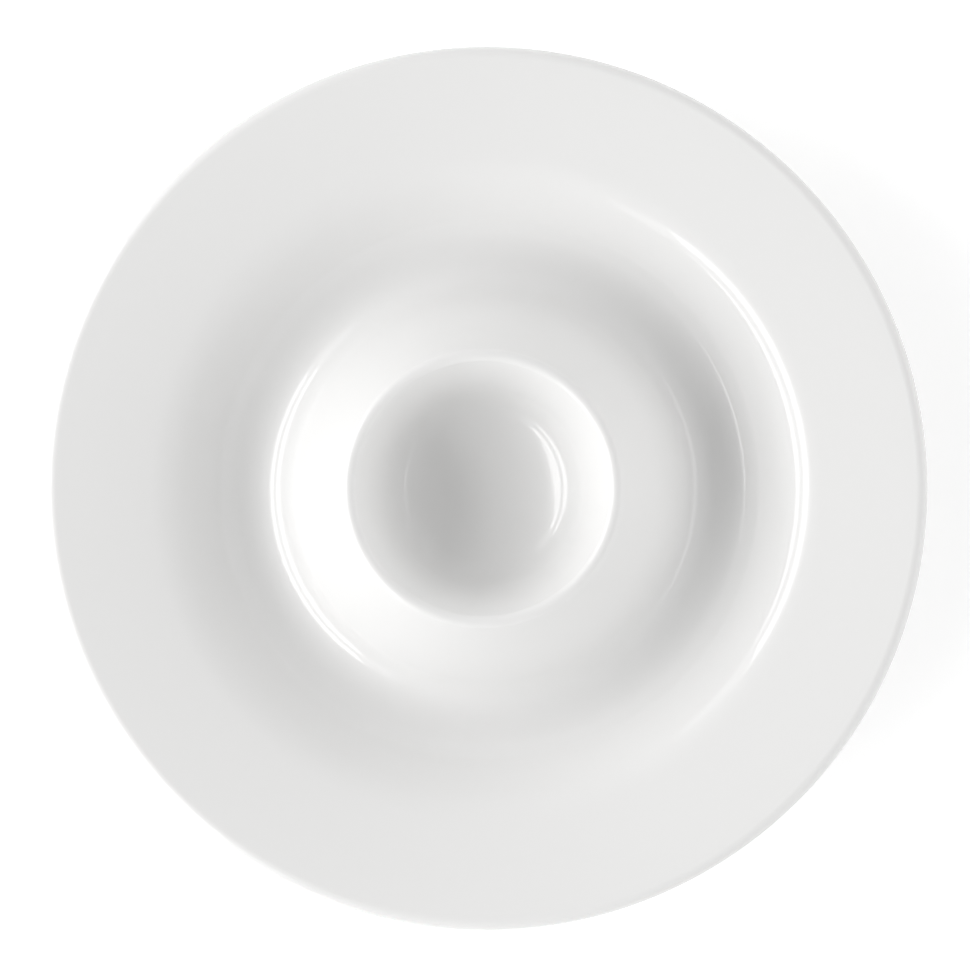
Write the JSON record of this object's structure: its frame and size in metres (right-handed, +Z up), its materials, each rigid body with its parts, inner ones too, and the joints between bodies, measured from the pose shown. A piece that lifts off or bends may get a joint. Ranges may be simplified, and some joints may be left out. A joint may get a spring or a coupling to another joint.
{
  "type": "egg cup",
  "caption": "White glazed porcelain egg cup: a round bowl for one egg in the middle of its own wide-rimmed saucer, on a bare foot ring.",
  "frame": {"origin": "on the table under the middle of the bowl", "axes": "+Z up along the axis of the turned shape, X and Y alike"},
  "size_m": [0.13, 0.13, 0.025],
  "materials": {
    "glaze": "glossy white glaze",
    "biscuit": "matt, fine, bare at the foot ring"
  },
  "bodies": {
    "root": {"saucer": "biscuit", "cup": "biscuit", "top_glaze": "glaze", "base_glaze": "glaze"}
  },
  "joints": []
}
